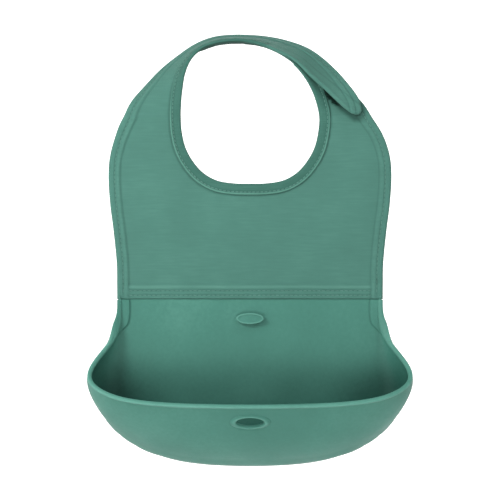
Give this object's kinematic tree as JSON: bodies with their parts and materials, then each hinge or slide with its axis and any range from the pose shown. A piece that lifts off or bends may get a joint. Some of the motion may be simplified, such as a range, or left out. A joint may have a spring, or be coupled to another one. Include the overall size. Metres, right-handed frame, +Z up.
{
  "type": "roll-up baby bib",
  "caption": "Roll-up baby bib: fabric upper with a hook-and-loop neck strap, sewn to a moulded silicone food pocket with an oval button and buttonhole.",
  "frame": {"origin": "centre of the neck opening, in the middle plane of the flat fabric", "axes": "+Z up as worn, from the pocket to the back of the neck; -Y out of the wearer's chest; +X to a facing viewer's right"},
  "size_m": [0.2344, 0.0965, 0.3174],
  "materials": {
    "upper_fabric": "matt coated plain weave, sage green",
    "lining_fabric": "matt plain weave, sage green",
    "binding_fabric": "matt folded tape, darker sage green",
    "thread": "polyester sewing thread, sage green",
    "hook_and_loop": "napped nylon tape, dark sage green",
    "silicone": "satin moulded silicone, sage green"
  },
  "bodies": {
    "upper": {"front_panel": "upper_fabric", "back_panel": "lining_fabric", "neckline_binding": "binding_fabric", "neckline_topstitching": "thread", "left_edge_topstitching": "thread", "right_edge_topstitching": "thread", "loop_patch": "hook_and_loop"},
    "pocket": {"seam_band_front": "upper_fabric", "seam_band_back": "lining_fabric", "seam_stitch_row_upper": "thread", "seam_stitch_row_lower": "thread", "silicone_pocket": "silicone"},
    "neck_strap": {"strap_front": "upper_fabric", "strap_back": "lining_fabric", "strap_binding": "binding_fabric"},
    "closure_tab": {"tab_front": "upper_fabric", "tab_back": "lining_fabric", "hook_patch": "hook_and_loop"}
  },
  "joints": [
    {"name": "seam_fold", "type": "hinge", "parent": "upper", "child": "pocket", "pos_m": [0, -0.0015, -0.1232], "axis": [-1, 0, 0], "range_deg": [0, 135]},
    {"name": "strap_swing", "type": "hinge", "parent": "upper", "child": "neck_strap", "pos_m": [-0.0383, 0.0195, 0.0493], "axis": [0.074, -0.9752, -0.2085], "range_deg": [0, 60]},
    {"name": "tab_peel", "type": "hinge", "parent": "neck_strap", "child": "closure_tab", "pos_m": [0.022, 0.01425, 0.0501], "axis": [-0.3498, -0.8919, -0.2868], "range_deg": [0, 100]}
  ]
}
